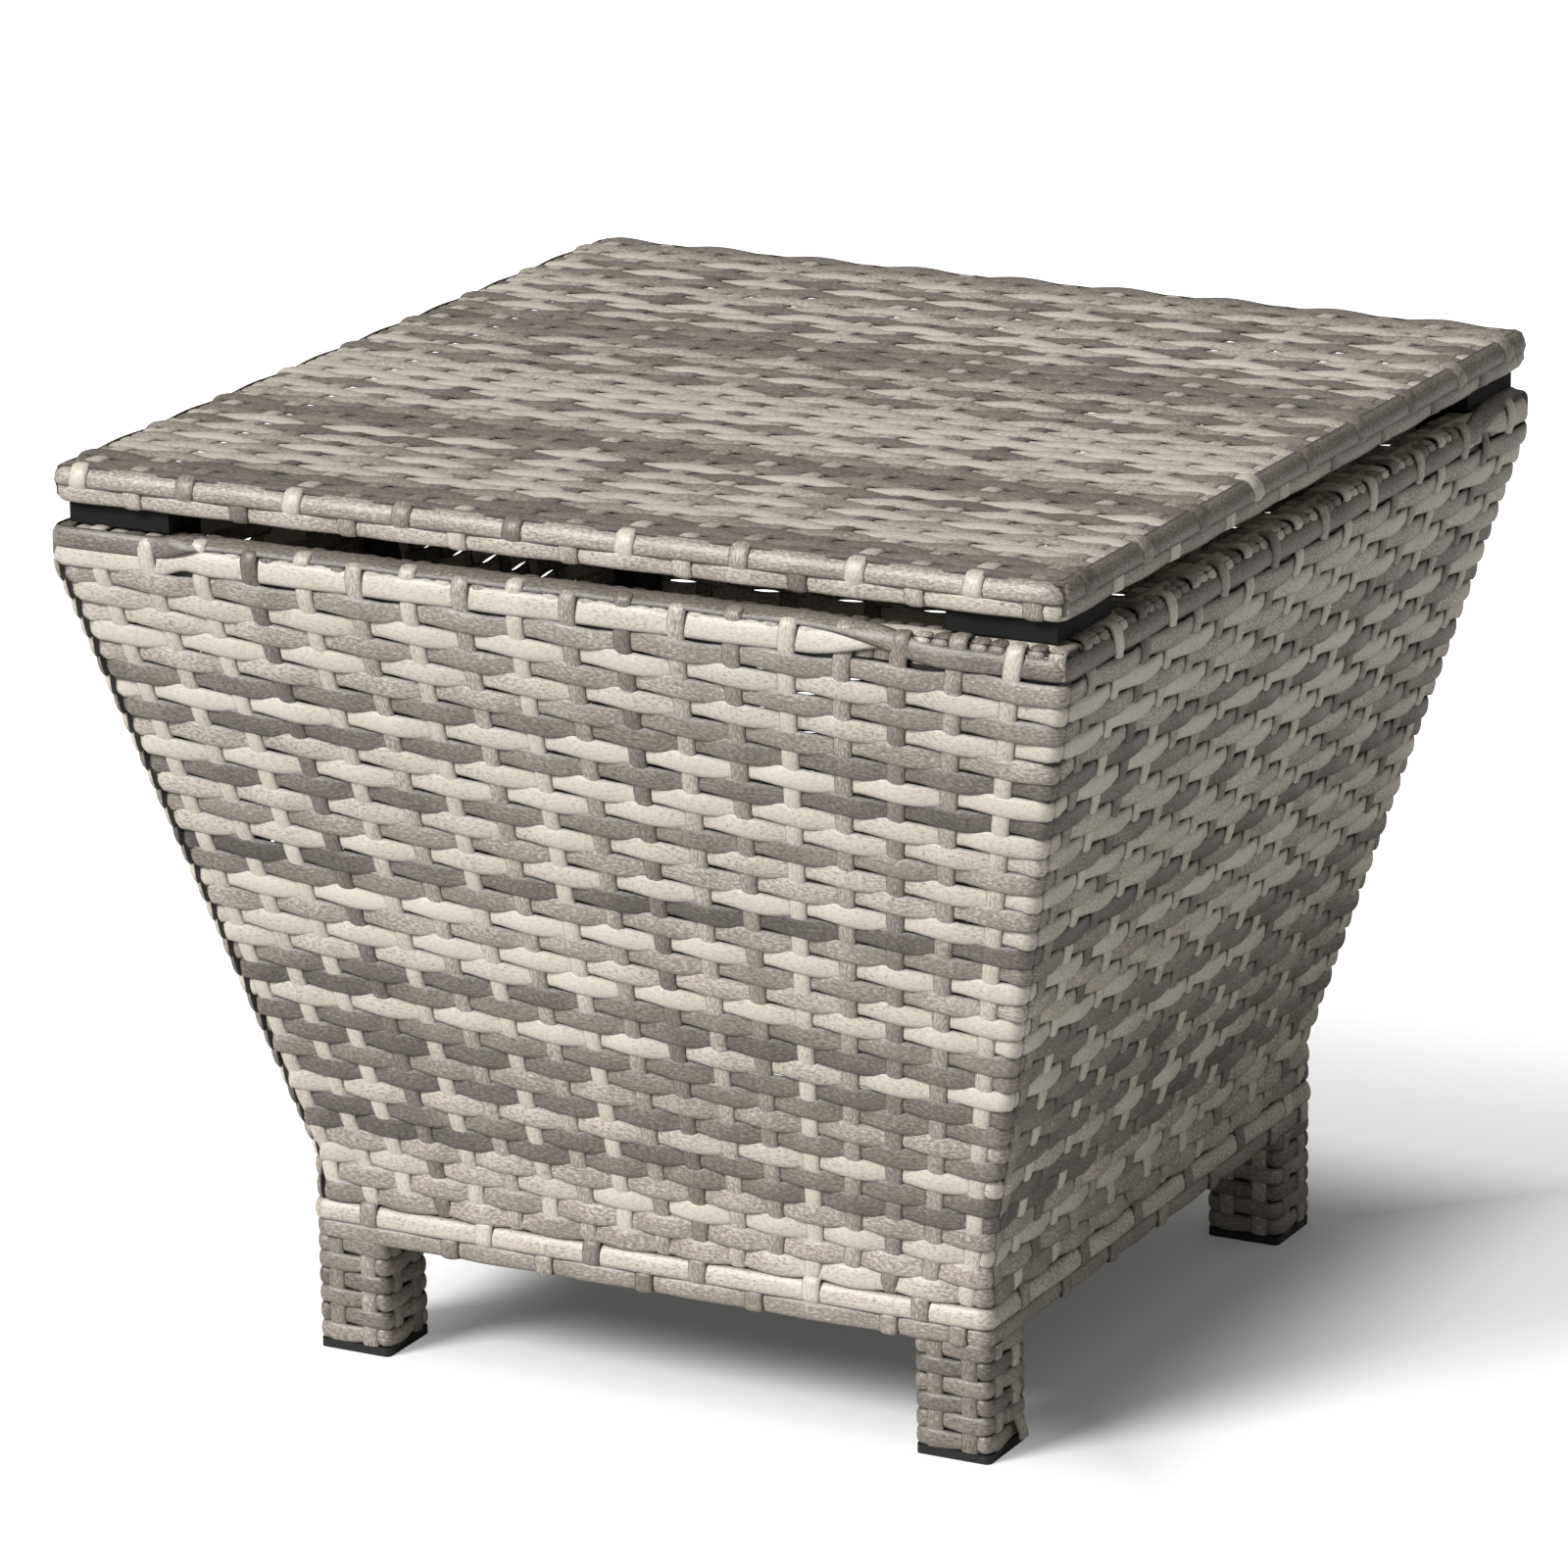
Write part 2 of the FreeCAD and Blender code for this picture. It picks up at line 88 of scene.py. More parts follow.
def sweep(centre, normal, width, thick, closed, tone, wide=1.0, bow=0.0, shade=0.0):
    # a strand along paths of (strands, stations, 3). Its face is domed, height = thick *
    # (1 - |across| ** domePower) ** domeRound, its back is flat, and both edges bend back:
    # vertex = centre + side * across * width / 2 * wide + out * (height - thick / 2
    # - bow * across ** 2). Stations with a shade of 1 get painted shade as dark as the painted
    # shade along the strand's edges
    if closed:
        direction = np.roll(centre, -1, 1) - np.roll(centre, 1, 1)
    else:
        direction = np.gradient(centre, axis=1)
    direction = unit(direction)
    sideways = unit(np.cross(direction, normal))
    outward = np.cross(sideways, direction)
    face, back = np.array(strandSection["face"]), strandSection["back"]
    across = np.concatenate([face, back])
    dome = (1 - np.abs(face) ** strandSection["domePower"]) ** strandSection["domeRound"]
    height = np.concatenate([thick * dome, np.full(len(back), -strandSection["backDepth"] * thick)])

    def atStations(value):
        return np.broadcast_to(value, centre.shape[:2])[:, :, None]

    broad = atStations(wide) * across * width / 2
    high = height - thick / 2 - atStations(bow) * across ** 2
    points = (centre[:, :, None] + sideways[:, :, None] * broad[..., None]
              + outward[:, :, None] * high[..., None])
    count, stations, around = points.shape[:3]
    index = np.arange(points.size // 3).reshape(count, stations, around)
    after = np.roll(index, -1, 1) if closed else index[:, 1:]
    before = index if closed else index[:, :-1]
    quads = np.stack([before, after, np.roll(after, -1, 2), np.roll(before, -1, 2)], -1)
    step = np.linalg.norm(np.diff(centre, axis=1, append=centre[:, :1]), axis=2)
    run = np.concatenate([np.zeros((count, 1)), np.cumsum(step, 1)], 1)
    start = run[:, :-1] if closed else run[:, :-2]
    end = run[:, 1:] if closed else run[:, 1:-1]
    girth = np.linspace(0, strandSection["girth"] * width, around + 1)
    u = np.broadcast_to(np.stack([start, end, end, start], -1)[:, :, None], quads.shape)
    v = np.broadcast_to(np.stack([girth[:-1], girth[:-1], girth[1:], girth[1:]], -1), quads.shape)
    shift = chance.uniform(0, strandSection["mapSpan"], (count, 1, 1, 1))
    maps = np.stack([u + shift, v + strandSection["mapSlip"] * shift], -1)
    # edges: |across|, or a station's shade where that is greater, carries the painted shade
    part = {"points": points.reshape(-1, 3), "quads": quads.reshape(-1, 4),
            "caps": np.zeros((0, around), int), "maps": maps.reshape(-1, 4, 2),
            "tones": np.broadcast_to(atStations(tone), index.shape).reshape(-1),
            "edges": np.maximum(np.abs(across), atStations(shade)).reshape(-1)}
    if not closed:
        part["caps"] = np.concatenate([index[:, 0], index[:, -1, ::-1]])
    # faces that turn inward enclose a negative volume, the sum of corner . (corner x corner)
    corners = part["points"][part["quads"]]
    volume = np.einsum("ij,ij->", corners[:, 0], np.cross(corners[:, 1], corners[:, 2])
                       + np.cross(corners[:, 2], corners[:, 3]))
    if volume < 0:
        for name in ("quads", "maps", "caps"):
            part[name] = part[name][:, ::-1]
    return part


def placed(name, content):
    # an object of a mesh, a lamp or a camera, in the scene
    made = bpy.data.objects.new(name, content)
    bpy.context.scene.collection.objects.link(made)
    return made


def piece(name, body, parts, replaces):
    # joins the parts into one mesh; loops are the quads' corners and then the end caps' corners
    offsets = np.cumsum([0] + [len(p["points"]) for p in parts[:-1]])
    points = np.concatenate([p["points"] for p in parts]) * mm
    quads, caps = (np.concatenate([p[key] + o for p, o in zip(parts, offsets)])
                   for key in ("quads", "caps"))
    loops = np.concatenate([quads.ravel(), caps.ravel()])
    totals = np.concatenate([np.full(len(quads), 4), np.full(len(caps), caps.shape[1])])
    starts = np.concatenate([[0], np.cumsum(totals)[:-1]])
    mesh = bpy.data.meshes.new(name)
    mesh.vertices.add(len(points))
    mesh.vertices.foreach_set("co", points.ravel().astype(np.float32))
    mesh.loops.add(len(loops))
    mesh.loops.foreach_set("vertex_index", loops.astype(np.int32))
    mesh.polygons.add(len(totals))
    mesh.polygons.foreach_set("loop_start", starts.astype(np.int32))
    mesh.update(calc_edges=True)
    maps = np.concatenate([p["maps"].reshape(-1, 2) for p in parts] + [np.zeros((caps.size, 2))])
    layer = mesh.uv_layers.new(name="strandMap")
    layer.data.foreach_set("uv", (maps * mm).ravel().astype(np.float32))
    # tone picks the strand's own colour; edge carries the painted shade at its edges and seams
    for attribute, key in (("tone", "tones"), ("edge", "edges")):
        values = mesh.attributes.new(attribute, "FLOAT", "POINT")
        values.data.foreach_set("value", np.concatenate([p[key] for p in parts]).astype(np.float32))
    mesh.shade_smooth()
    mesh.set_sharp_from_angle(angle=sharpAngle)
    mesh.materials.append(wicker)
    made = placed(name, mesh)
    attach(made, body)
    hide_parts(*replaces)


def pieceBySide(name, strandsOf, replaced, body="body"):
    # one piece per side, of the strands that a function makes for that side
    for side, sideName in enumerate(sideNames):
        piece(name + sideName, body, strandsOf(side), [replaced + sideName])


class Wire:
    # one socket of a material's nodes; arithmetic on it adds Math nodes
    def __init__(self, tree, socket=None):
        self.tree = tree
        self.socket = socket

    def node(self, kind, settings=None, inputs=None, output=0):
        made = self.tree.nodes.new(kind)
        for name, value in (settings or {}).items():
            if name == "stops":
                ramp = made.color_ramp.elements
                for spare in range(len(value) - len(ramp)):
                    ramp.new(0.5)
                for stop, (position, colour) in zip(ramp, value):
                    stop.position = position
                    stop.color = (*colour, 1)
            else:
                setattr(made, name, value)
        for name, value in (inputs or {}).items():
            if isinstance(value, Wire):
                self.tree.links.new(value.socket, made.inputs[name])
            else:
                made.inputs[name].default_value = value
        return Wire(self.tree, made.outputs[output]) if len(made.outputs) else made

    def noise(self, scale, detail):
        return self.node("ShaderNodeTexNoise", None,
                         {"Vector": self, "Scale": scale, "Detail": detail})

    def math(self, operation, first, second):
        return self.node("ShaderNodeMath", {"operation": operation}, {0: first, 1: second})

    def __add__(self, other):
        return self.math("ADD", self, other)

    def __radd__(self, other):
        return self.math("ADD", other, self)

    def __sub__(self, other):
        return self.math("SUBTRACT", self, other)

    def __rsub__(self, other):
        return self.math("SUBTRACT", other, self)

    def __mul__(self, other):
        return self.math("MULTIPLY", self, other)

    def __rmul__(self, other):
        return self.math("MULTIPLY", other, self)

    def __pow__(self, other):
        return self.math("POWER", self, other)


def linear(red, green, blue):
    # the colour as it is seen, 0 to 255, made into the light values that a shader takes
    seen = np.array([red, green, blue]) / 255
    return tuple(float(c) for c in np.where(seen <= 0.04045, seen / 12.92,
                                            ((seen + 0.055) / 1.055) ** 2.4))


def newMaterial(name):
    made = bpy.data.materials.new(name)
    made.use_nodes = True
    made.node_tree.nodes.clear()
    return made, Wire(made.node_tree)


def finishMaterial(start, colour, roughness, height, strength, distance, settings):
    bump = start.node("ShaderNodeBump", None,
                      {"Strength": strength, "Distance": distance, "Height": height})
    inputs = {"Base Color": colour, "Roughness": roughness, "Normal": bump}
    shader = start.node("ShaderNodeBsdfPrincipled", None, {**inputs, **settings})
    start.node("ShaderNodeOutputMaterial", None, {"Surface": shader})


strandLook = {
    # colours along the ramp of tones; the outer two are only reached by the fibres
    "stops": [(0.0, (82, 77, 71)), (0.25, (117, 110, 102)), (0.5, (158, 149, 137)),
              (0.7, (206, 198, 182)), (1.0, (226, 219, 204))],
    "fibre": 0.42,          # how far the fibres shift a strand between its tones
    # three noises, each with its scale along and across the strand, its detail and its weight
    "fine": (300, 1100, 3.0, 1.5), "flecks": (420, 800, 2.0, 1.1), "cloud": (26, 60, 1.0, 0.6),
    "edge": 0.94,           # how dark the painted shade along a strand's two edges is
    "edgePower": 8.0,       # the higher, the narrower the painted shade at the edge
    "roughness": 0.38, "bump": 0.35,
}


def strandMaterial():
    # heathered plastic strand: tone + fibres, which are noise stretched along the strand, picks
    # the colour, and 1 - edge * across ** edgePower paints the creases' shade towards both edges
    made, start = newMaterial("wicker strand")
    run = start.node("ShaderNodeUVMap", {"uv_map": "strandMap"})
    tone = start.node("ShaderNodeAttribute", {"attribute_name": "tone"}, output=2)
    edge = start.node("ShaderNodeAttribute", {"attribute_name": "edge"}, output=2)

    def noise(along, across, detail):
        place = start.node("ShaderNodeVectorMath", {"operation": "MULTIPLY"},
                           {0: run, 1: (along, across, 0)})
        return start.node("ShaderNodeTexNoise", {"noise_dimensions": "2D"},
                          {"Vector": place, "Scale": 1.0, "Detail": detail, "Roughness": 0.6})

    names = ("fine", "flecks", "cloud")
    fine, flecks, cloud = (noise(*strandLook[name][:3]) for name in names)
    weights = [strandLook[name][3] for name in names]
    shift = (fine - 0.5) * weights[0] + (flecks - 0.5) * weights[1] + (cloud - 0.5) * weights[2]
    ramp = start.node("ShaderNodeValToRGB", {"stops": [
        (position, linear(*seen)) for position, seen in strandLook["stops"]]},
        {"Fac": tone + shift * strandLook["fibre"]})
    # painted shade: darker towards both edges of a strand, as in the creases between strands, and
    # at the corner seams
    shade = 1.0 - edge ** strandLook["edgePower"] * strandLook["edge"]
    colour = start.node("ShaderNodeVectorMath", {"operation": "SCALE"}, {0: ramp, "Scale": shade})
    roughness = strandLook["roughness"] + (flecks - 0.5) * 0.2
    finishMaterial(start, colour, roughness, fine + flecks * 0.5, strandLook["bump"], 0.0004,
                   {"Specular IOR Level": 0.5})
    return made


def coatMaterial(name, colour, roughness, grain, metallic=0.0, depth=0.0002):
    # powder coat, rubber or moulded plastic: fine grain over a slow change of shade
    made, start = newMaterial(name)
    place = start.node("ShaderNodeTexCoord", None, None, output=3)
    fine, slow = place.noise(grain, 2.0), place.noise(14.0, 3.0)
    dark = tuple(c * 0.82 for c in linear(*colour))
    pale = tuple(min(1.0, c * 1.18 + 0.004) for c in linear(*colour))
    ramp = start.node("ShaderNodeValToRGB", {"stops": [(0.3, dark), (0.7, pale)]},
                      {"Fac": slow * 0.7 + fine * 0.3})
    finishMaterial(start, ramp, roughness + (fine - 0.5) * 0.2, fine, 0.35, depth,
                   {"Metallic": metallic})
    return made


wicker = strandMaterial()
nodeLooks = {
    "frame_coat": coatMaterial("frame powder coat", (40, 39, 38), 0.48, 1800),
    "foot_plastic": coatMaterial("foot plastic", (24, 24, 25), 0.55, 1200),
    # black rubber pads, made near black so that they pass for the shade in the gap under the lid:
    # partly painted shade
    "locator_rubber": coatMaterial("locator rubber and painted shade", (6, 6, 6), 0.9, 900),
    "screw_steel": coatMaterial("screw steel", (176, 176, 174), 0.3, 2600, 1.0, 0.00005),
}
nodeFinish = {
    "frame_coat": ("leg_", "post_seat_", "corner_post_", "base_rail_", "top_rail_", "side_stay_",
                   "lid_rail_", "lid_cross_bar_"),
    "foot_plastic": ("foot_cap_",), "locator_rubber": ("lid_locator_",),
    "screw_steel": ("locator_screws",),
}
for finish, starts in nodeFinish.items():
    for name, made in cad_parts.items():
        if name.startswith(starts) and not name.startswith("leg_weave"):
            made.data.materials.clear()
            made.data.materials.append(nodeLooks[finish])
print("materials made")


# Tones: D dark grey, M taupe, L cream, from the bottom row up and from left to right
toneOf = {"D": 0.32, "M": 0.5, "L": 0.73}


def tones(letters, spread=0.045):
    # each letter's tone, moved a little by chance
    values = np.array([toneOf[letter] for letter in letters])
    return np.clip(values + chance.normal(0, spread, len(values)), 0, 1)


def anyTones(count, shares=(0.4, 0.3, 0.3)):
    # strands drawn by chance in the given shares of dark, taupe and cream
    return tones(chance.choice(list("DML"), count, p=shares))


wall = {
    "knee": 113.0, "frameHalfLow": 204.5, "frameHalfHigh": 297.0, "top": 460.0,
    "middle": 2.35,           # from the frame to the middle of the weave
    "radius": 7.0, "strand": 11.4, "stakeStrand": 10.6, "thick": 1.7, "stakeThinner": 0.94,
    "firstRow": 94.5, "rowPitch": 11.0, "rows": 34, "rowWave": 1.5, "stakeWave": 0.45,
    # a row's width in strand widths, for the front, right, back and left
    "fill": [1.07, 1.06, 1.12, 1.12], "widthDrift": 0.012,
    "overWider": 0.1,         # how much wider a row is where it passes over a stake
    # each row's lower edge stands out over the next one down, by side
    "shingle": [0.12, 0.12, 0.0, 0.0],
    "overBow": 1.0,           # how far a row's edges bend back where it passes over a stake
    "drift": 0.2, "sag": 1.25,
    # over this height from the lowest row up, the rows go from closer and calmer to plain
    "closeHeight": 190.0, "closeWider": 0.06, "closeCalm": 0.75,
    "seam": 2.2,              # how far the rows sink just past each corner
    "seamNarrower": 0.12,     # and how much narrower they are there
    "toneDrift": 0.06,        # how far a row's tone changes along its length
    # stakes are pitchLow apart at height fanFrom and pitchHigh apart at fanTo
    "stakes": 18, "pitchLow": 22.8, "pitchHigh": 31.9, "fanFrom": 95, "fanTo": 475,
    "cornerLevel": 0.45,
    "rowTones": "MMLMDDLDMDDLDDLLMLMDLMLDLLDLDMLMLM",
    "stakeTones": ["LLLDLMLMLMDLMLMDML", "MLDLMMLDLMLLDMLMDL", "LMLDMLLMDLMLDLMLML",
                   "MLMLDLMDLLMLMDLLMD"],
    # side that the corner ends, row below the slit, width of the slit
    "slits": [(0, 27, 1.5), (0, 29, 2.6), (0, 6, 1.8), (3, 0, 1.2)],
    "slitReach": 3.2,         # in stations along the rows
    "slitNarrower": 0.6,      # share of a slit that the two rows give up in width
}


def frameHalf(z):
    # upright to the knee, then a straight lean out to the rim
    climb = np.clip((np.asarray(z, float) - wall["knee"]) / (wall["top"] - wall["knee"]), 0, 1)
    return wall["frameHalfLow"] + climb * (wall["frameHalfHigh"] - wall["frameHalfLow"])


def stakePitch(z):
    # the stakes fan out with height: pitch grows in a straight line
    climb = (np.asarray(z, float) - wall["fanFrom"]) / (wall["fanTo"] - wall["fanFrom"])
    return wall["pitchLow"] + climb * (wall["pitchHigh"] - wall["pitchLow"])


leanSlope = (wall["frameHalfHigh"] - wall["frameHalfLow"]) / (wall["top"] - wall["knee"])
stakeNumbers = spaced(wall["stakes"])


def wander(count, stations, size, waves=9):
    # slow sideways drift: a sum of sines with chance heights and starts, closed over one turn
    turn = np.linspace(0, 2 * np.pi, stations, endpoint=False)
    waveNumbers = np.arange(2, 2 + waves)
    start = chance.uniform(0, 2 * np.pi, (count, waves, 1))
    height = chance.normal(0, size / math.sqrt(waves / 2), (count, waves, 1))
    return (height * np.sin(waveNumbers[:, None] * turn + start)).sum(1)


def ringPaths(half, radius, crossX, lift, wave, parity, cornerLevel, gapSteps=6, endSteps=4,
              arcSteps=6):
    # rows round four sides, crossX and parity given per side. Between crossings k and k + 1 the
    # level is wave * cos(pi * (k + t + parity)); from the last crossing to the corner it eases to
    # the corner's level, and the corner is a quarter circle
    rows = len(half)
    half, lift = half[:, None], lift[:, None]
    straight = half - radius
    t, e = np.arange(gapSteps) / gapSteps, np.arange(endSteps) / endSteps
    angle = np.pi / 2 * np.arange(arcSteps) / arcSteps
    eighth = radius * np.pi / 4

    def levelAt(k):
        return wave * np.cos(np.pi * k)

    def toCorner(away, reach, level):
        return level + (cornerLevel - level) * ease(away / (reach + eighth))

    centre, normal, levels, sideOf = [], [], [], []
    for side in range(4):
        cross, following = crossX[side], (side + 1) % 4
        k = np.arange(cross.shape[1] - 1)
        gapX = (cross[:, :-1, None] + np.diff(cross, axis=1)[:, :, None] * t).reshape(rows, -1)
        gapLevel = levelAt((k[:, None] + t).reshape(1, -1) + parity[side])
        reachFirst, reachLast = cross[:, :1] + straight, straight - cross[:, -1:]
        reachNext = crossX[following][:, :1] + straight
        levelFirst, levelLast = levelAt(parity[side]), levelAt(len(k) + parity[side])
        levelNext = levelAt(parity[following])
        arcLevel = np.where(angle < np.pi / 4,
                            toCorner(reachLast + radius * angle, reachLast, levelLast),
                            toCorner(reachNext + 2 * eighth - radius * angle, reachNext, levelNext))
        x = np.concatenate([-straight + reachFirst * e, gapX, cross[:, -1:] + reachLast * e,
                            straight + radius * np.sin(angle)], 1)
        n = np.concatenate([np.repeat(half, x.shape[1] - arcSteps, 1),
                            straight + radius * np.cos(angle)], 1)
        levels += [toCorner(reachFirst * (1 - e), reachFirst, levelFirst), gapLevel,
                   toCorner(reachLast * e, reachLast, levelLast), arcLevel]
        bend = np.concatenate([np.zeros(x.shape[1] - arcSteps), angle])
        centre.append(onSide(side, x, n, lift + 0 * x))
        facing = onSide(side, np.sin(bend), np.cos(bend), 0 * bend)
        normal.append(np.broadcast_to(facing, centre[-1].shape))
        sideOf.append(np.full(x.shape[1], side))
    return (np.concatenate(centre, 1), np.concatenate(normal, 1),
            np.concatenate([level + np.zeros((rows, 1)) for level in levels], 1),
            np.concatenate(sideOf))


def sagOf(level, wave, size, gapSteps=6):
    # size * slope of the level: a strand sinks while it passes over and climbs while it's under
    return size * (np.roll(level, -1, 1) - np.roll(level, 1, 1)) / 2 * gapSteps / (np.pi * wave)


# Rows of the body
rowZ = wall["firstRow"] + wall["rowPitch"] * np.arange(wall["rows"])
rowHalf = frameHalf(rowZ) + wall["middle"]
rowCross = stakePitch(rowZ)[:, None] * stakeNumbers
rowParity = (np.arange(wall["rows"]) % 2).astype(float)[:, None]
rowPath, rowNormal, rowLevel, rowSide = ringPaths(
    rowHalf, wall["radius"], [rowCross] * 4, rowZ, wall["rowWave"], [rowParity] * 4,
    wall["cornerLevel"])
stations = len(rowSide)
rowOver = rowLevel / wall["rowWave"]
rowWide = (np.array(wall["fill"])[rowSide] + wall["overWider"] * rowOver
           + wander(len(rowZ), stations, wall["widthDrift"]))
# low down, where the stakes are close, the rows lie straighter and closer: 1 at the lowest row
closeness = (1 - np.clip((rowZ - wall["firstRow"]) / wall["closeHeight"], 0, 1))[:, None]
rowWide = rowWide + wall["closeWider"] * closeness
drift = (wander(len(rowZ), stations, wall["drift"])
         + sagOf(rowLevel, wall["rowWave"], wall["sag"])) * (1 - wall["closeCalm"] * closeness)
seams = np.flatnonzero(np.diff(rowSide, prepend=-1))
rowLevel[:, seams] -= wall["seam"]
rowWide[:, seams] -= wall["seamNarrower"]
# painted shade: a dark band at the two stations where each side's rows start, for the shadow in the
# seam past each corner
seamShade = np.zeros((1, stations))
seamShade[:, np.concatenate([seams, seams - 1])] = 1.0
for side, row, opening in wall["slits"]:
    # neighbours part at a corner: opening * exp(-(stations away / slitReach) ** 2)
    cornerMiddle = (side + 1) * stations // 4 - 3
    away = np.abs((np.arange(stations) - cornerMiddle + stations // 2)
                  % stations - stations // 2)
    parting = opening * np.exp(-(away / wall["slitReach"]) ** 2)
    drift[row] -= parting / 2
    drift[row + 1] += parting / 2
    rowWide[row:row + 2] -= parting / wall["strand"] * wall["slitNarrower"]
lean = np.where(rowZ > wall["knee"], leanSlope, 0.0)[:, None, None]
tilted = unit(rowNormal - lean * upward)
climb = unit(upward + lean * rowNormal)
rowPath = rowPath + tilted * rowLevel[:, :, None] + climb * drift[:, :, None]
tilted = unit(tilted + climb * np.array(wall["shingle"])[rowSide][None, :, None])
rowTone = tones(wall["rowTones"])[:, None] + wander(len(rowZ), stations, wall["toneDrift"], 7)
rowBow = wall["overBow"] * np.clip(rowOver, 0, 1)
bandNames = ["bottom", "low", "middle", "high", "top"]
for band, rows in zip(bandNames, np.array_split(np.arange(wall["rows"]), len(bandNames))):
    part = sweep(rowPath[rows], tilted[rows], wall["strand"], wall["thick"], True, rowTone[rows],
                 rowWide[rows], rowBow[rows], seamShade)
    piece("woven_rows_" + band, "body", [part], allSides("woven_panel_"))
print("body rows made:", wall["rows"])


def bentPath(points, radii, step):
    # straight runs in the (out, height) plane joined by arcs: each corner is cut back by
    # radius * tan(turn / 2) and filled by points at even angles
    path = [np.array(points[0], float)]
    for before, corner, after, radius in zip(points[:-2], points[1:-1], points[2:], radii):
        before, corner, after = (np.array(p, float) for p in (before, corner, after))
        first, second = unit(corner - before), unit(after - corner)
        turn = math.atan2(first[0] * second[1] - first[1] * second[0], first @ second)
        cut = radius * math.tan(abs(turn) / 2)
        start = corner - first * cut
        hub = start + radius * math.copysign(1, turn) * np.array([-first[1], first[0]])
        angles = np.linspace(0, turn, max(2, int(abs(turn) * radius / step) + 2))
        arm = start - hub
        path += [hub + np.array([arm[0] * math.cos(a) - arm[1] * math.sin(a),
                                 arm[0] * math.sin(a) + arm[1] * math.cos(a)]) for a in angles]
    path.append(np.array(points[-1], float))
    return np.array(path)


def evenly(path, step):
    # the path again at even distances
    run = np.concatenate([[0], np.cumsum(np.linalg.norm(np.diff(path, axis=0), axis=1))])
    at = np.linspace(0, run[-1], max(2, int(run[-1] / step) + 1))
    return np.stack([np.interp(at, run, path[:, 0]), np.interp(at, run, path[:, 1])], 1), at


def planeNormals(path):
    # the direction turned by a quarter, pointing away from the tube that the strand goes round
    direction = unit(np.gradient(path, axis=0))
    return np.stack([direction[:, 1], -direction[:, 0]], 1)


def crossStrands(side, x, path, level, width, thick, tone, fan=1.0, wide=1.0, top=1e9, sway=0.0,
                 lean=0.0):
    # strands in planes across a side: centre = (out, height) path + its normal * level, at
    # x * fan + sway along the side, and the face turned along the side by lean
    normals = planeNormals(path)
    x = np.asarray(x, float)[:, None] * (np.ones(len(path)) * fan) + sway
    level = np.broadcast_to(level, x.shape)
    centre = onSide(side, x, path[:, 0] + normals[:, 0] * level, path[:, 1] + normals[:, 1] * level)
    facing = np.broadcast_to(unit(onSide(side, lean, normals[:, 0], normals[:, 1])), centre.shape)
    part = sweep(centre, facing, width, thick, False, np.asarray(tone)[:, None], wide)
    part["points"][:, 2] = np.minimum(part["points"][:, 2], top)
    return part


def stepped(at, marks, values):
    # smooth level between marks: a cosine ease from each value to the next
    place = np.clip(np.searchsorted(marks, at) - 1, 0, len(marks) - 2)
    share = ease((at - marks[place]) / (marks[place + 1] - marks[place]))
    return values[..., place] + (values[..., place + 1] - values[..., place]) * share


def placesOnPath(path, at, items):
    # where along the path each (out, height) item lies
    return np.array([at[np.argmin(np.hypot(path[:, 0] - n, path[:, 1] - z))] for n, z in items])


rim = {
    "railOut": 297.0, "railTop": 480.0, "railIn": 277.0, "thick": 1.5,
    "courseZ": 471.3, "courseOff": 2.4, "courseTilt": 0.16, "courseRadius": 8.0, "wave": 0.7,
    "topCourseIn": 3.4, "topCourseZ": 481.8, "topCourseTilt": 1.12, "topRadius": 6.0,
    "topWave": 0.3, "courseBow": 0.5,
    # a stake's level from the rail, under or over the outer course, and lower over the top one
    "under": 0.85, "over": 3.4, "topLower": 0.9, "rollLevel": -0.2,
    "roll": 4.6, "innerEnd": 463.0,
    "fillWidth": 10.6, "fillOff": 0.85, "fillLow": 466.0,
    "fillPlaces": [0.34, 0.66], "fillPastEnd": [0.34, 0.7],      # between stakes, in pitches
    # where the dark course leaves the top for the outer face or goes back, left to right:
    # (side, from, to, share outside before, share outside after)
    "darkOutside": [(0, -235, -198, 1, 0), (0, 150, 235, 0, 1), (1, 190, 270, 1, 0),
                    (3, 180, 245, 0, 1)],
    # both courses lie outside round the front-left corner: start and length of each change
    "bothFront": (-235, 40), "bothLeft": (180, 65),
    # lift while both lie outside, bulge round the rail's edge, and how far a course stands off
    "dark": {"width": 11.8, "lift": 5.4, "bulge": 3.1, "off": 0.3,
             "tones": [0.28, 0.3, 0.35, 0.35]},
    "light": {"width": 13.8, "lift": -3.4, "bulge": 2.8, "sink": 2.6,
              "tones": [0.76, 0.64, 0.64, 0.72]},
}


